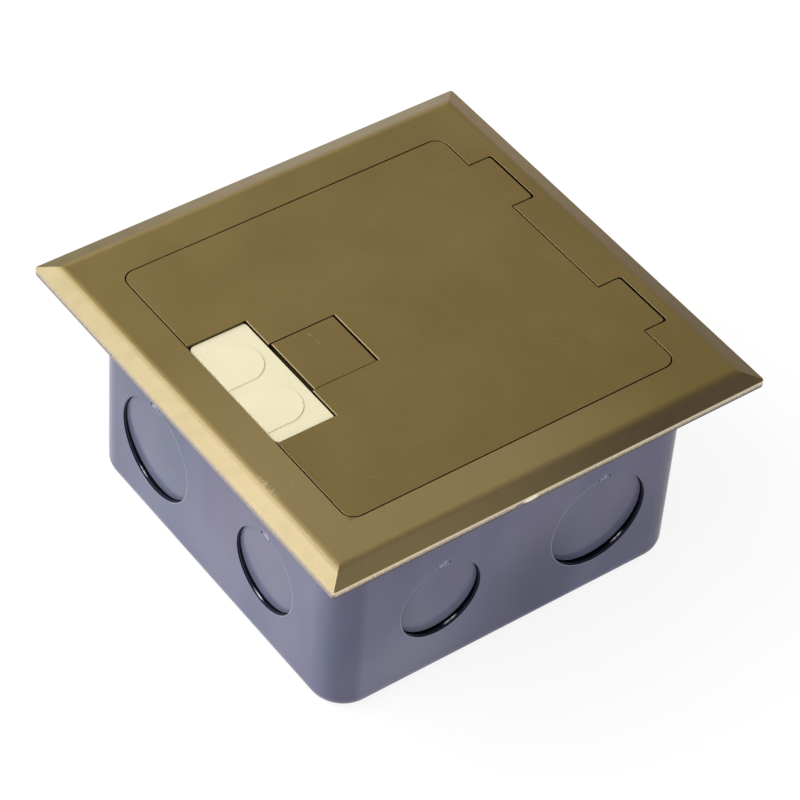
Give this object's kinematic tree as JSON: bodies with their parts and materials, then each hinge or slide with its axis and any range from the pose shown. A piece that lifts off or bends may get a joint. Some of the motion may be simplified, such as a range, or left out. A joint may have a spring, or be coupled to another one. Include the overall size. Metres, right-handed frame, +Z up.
{
  "type": "floor socket box",
  "caption": "Floor socket box: drawn steel back box with knockouts, bevelled brass frame, hinged brass lid with cable outlet and lift tab over a tray of socket modules.",
  "frame": {"origin": "middle of the back box's flat base, which is the middle of the object's footprint", "axes": "+Z up out of the floor, +Y towards the lid hinge, -Y towards the cable outlet"},
  "size_m": [0.12, 0.12, 0.0607],
  "materials": {
    "brass": "satin brushed top, bright bevels",
    "box_steel": "smooth blue-grey enamel, semi-gloss",
    "zinc_steel": "bright zinc plate",
    "spring_steel": "bright",
    "ivory_plastic": "moulded, satin",
    "tray_plastic": "fine moulded texture",
    "module_plastic": "moulded, semi-gloss",
    "inner_plastic": "moulded",
    "shutter_plastic": "moulded",
    "jack_plastic": "moulded",
    "contact_bronze": "stamped",
    "contact_gold": "plated",
    "seal_rubber": "matt",
    "foam": "closed-cell foam"
  },
  "bodies": {
    "base": {"back_box": "box_steel", "fixing_lugs": "zinc_steel", "earth_screw": "zinc_steel", "floor_frame": "brass", "floor_gasket": "foam", "hinge_pins": "zinc_steel", "socket_tray": "tray_plastic", "frame_screws": "zinc_steel", "fixing_screws": "zinc_steel", "lid_seal": "seal_rubber", "power_front": "module_plastic", "shutter_deck": "inner_plastic", "two_pin_spring": "spring_steel", "three_pin_spring": "spring_steel", "live_contact": "contact_bronze", "neutral_contact": "contact_bronze", "earth_contact": "contact_bronze", "terminal_screws": "zinc_steel", "power_back": "inner_plastic", "data_front": "module_plastic", "data_jack": "jack_plastic", "jack_contacts": "contact_gold", "idc_block": "inner_plastic"},
    "lid_panel": {"lid": "brass", "cable_outlet": "ivory_plastic", "outlet_screws": "zinc_steel", "tab_pin": "zinc_steel"},
    "tab": {"lift_tab": "brass"},
    "two_pin_slide": {"two_pin_shutter": "shutter_plastic"},
    "three_pin_slide": {"three_pin_shutter": "shutter_plastic"}
  },
  "joints": [
    {"name": "lid_hinge", "type": "hinge", "parent": "base", "child": "lid_panel", "pos_m": [0, 0.05005, 0.0592], "axis": [-1, 0, 0], "range_deg": [0, 105]},
    {"name": "tab_hinge", "type": "hinge", "parent": "lid_panel", "child": "tab", "pos_m": [0, -0.01255, 0.05965], "axis": [-1, 0, 0], "range_deg": [0, 80]},
    {"name": "two_pin_shutter_slide", "type": "slide", "parent": "base", "child": "two_pin_slide", "axis": [-1, 0, 0], "range_m": [0, 0.003], "stiffness_N_per_m": 120, "springref_m": -0.001, "deforming": ["two_pin_spring"]},
    {"name": "three_pin_shutter_slide", "type": "slide", "parent": "base", "child": "three_pin_slide", "axis": [0, -1, 0], "range_m": [0, 0.0048], "stiffness_N_per_m": 120, "springref_m": -0.001, "deforming": ["three_pin_spring"]}
  ]
}
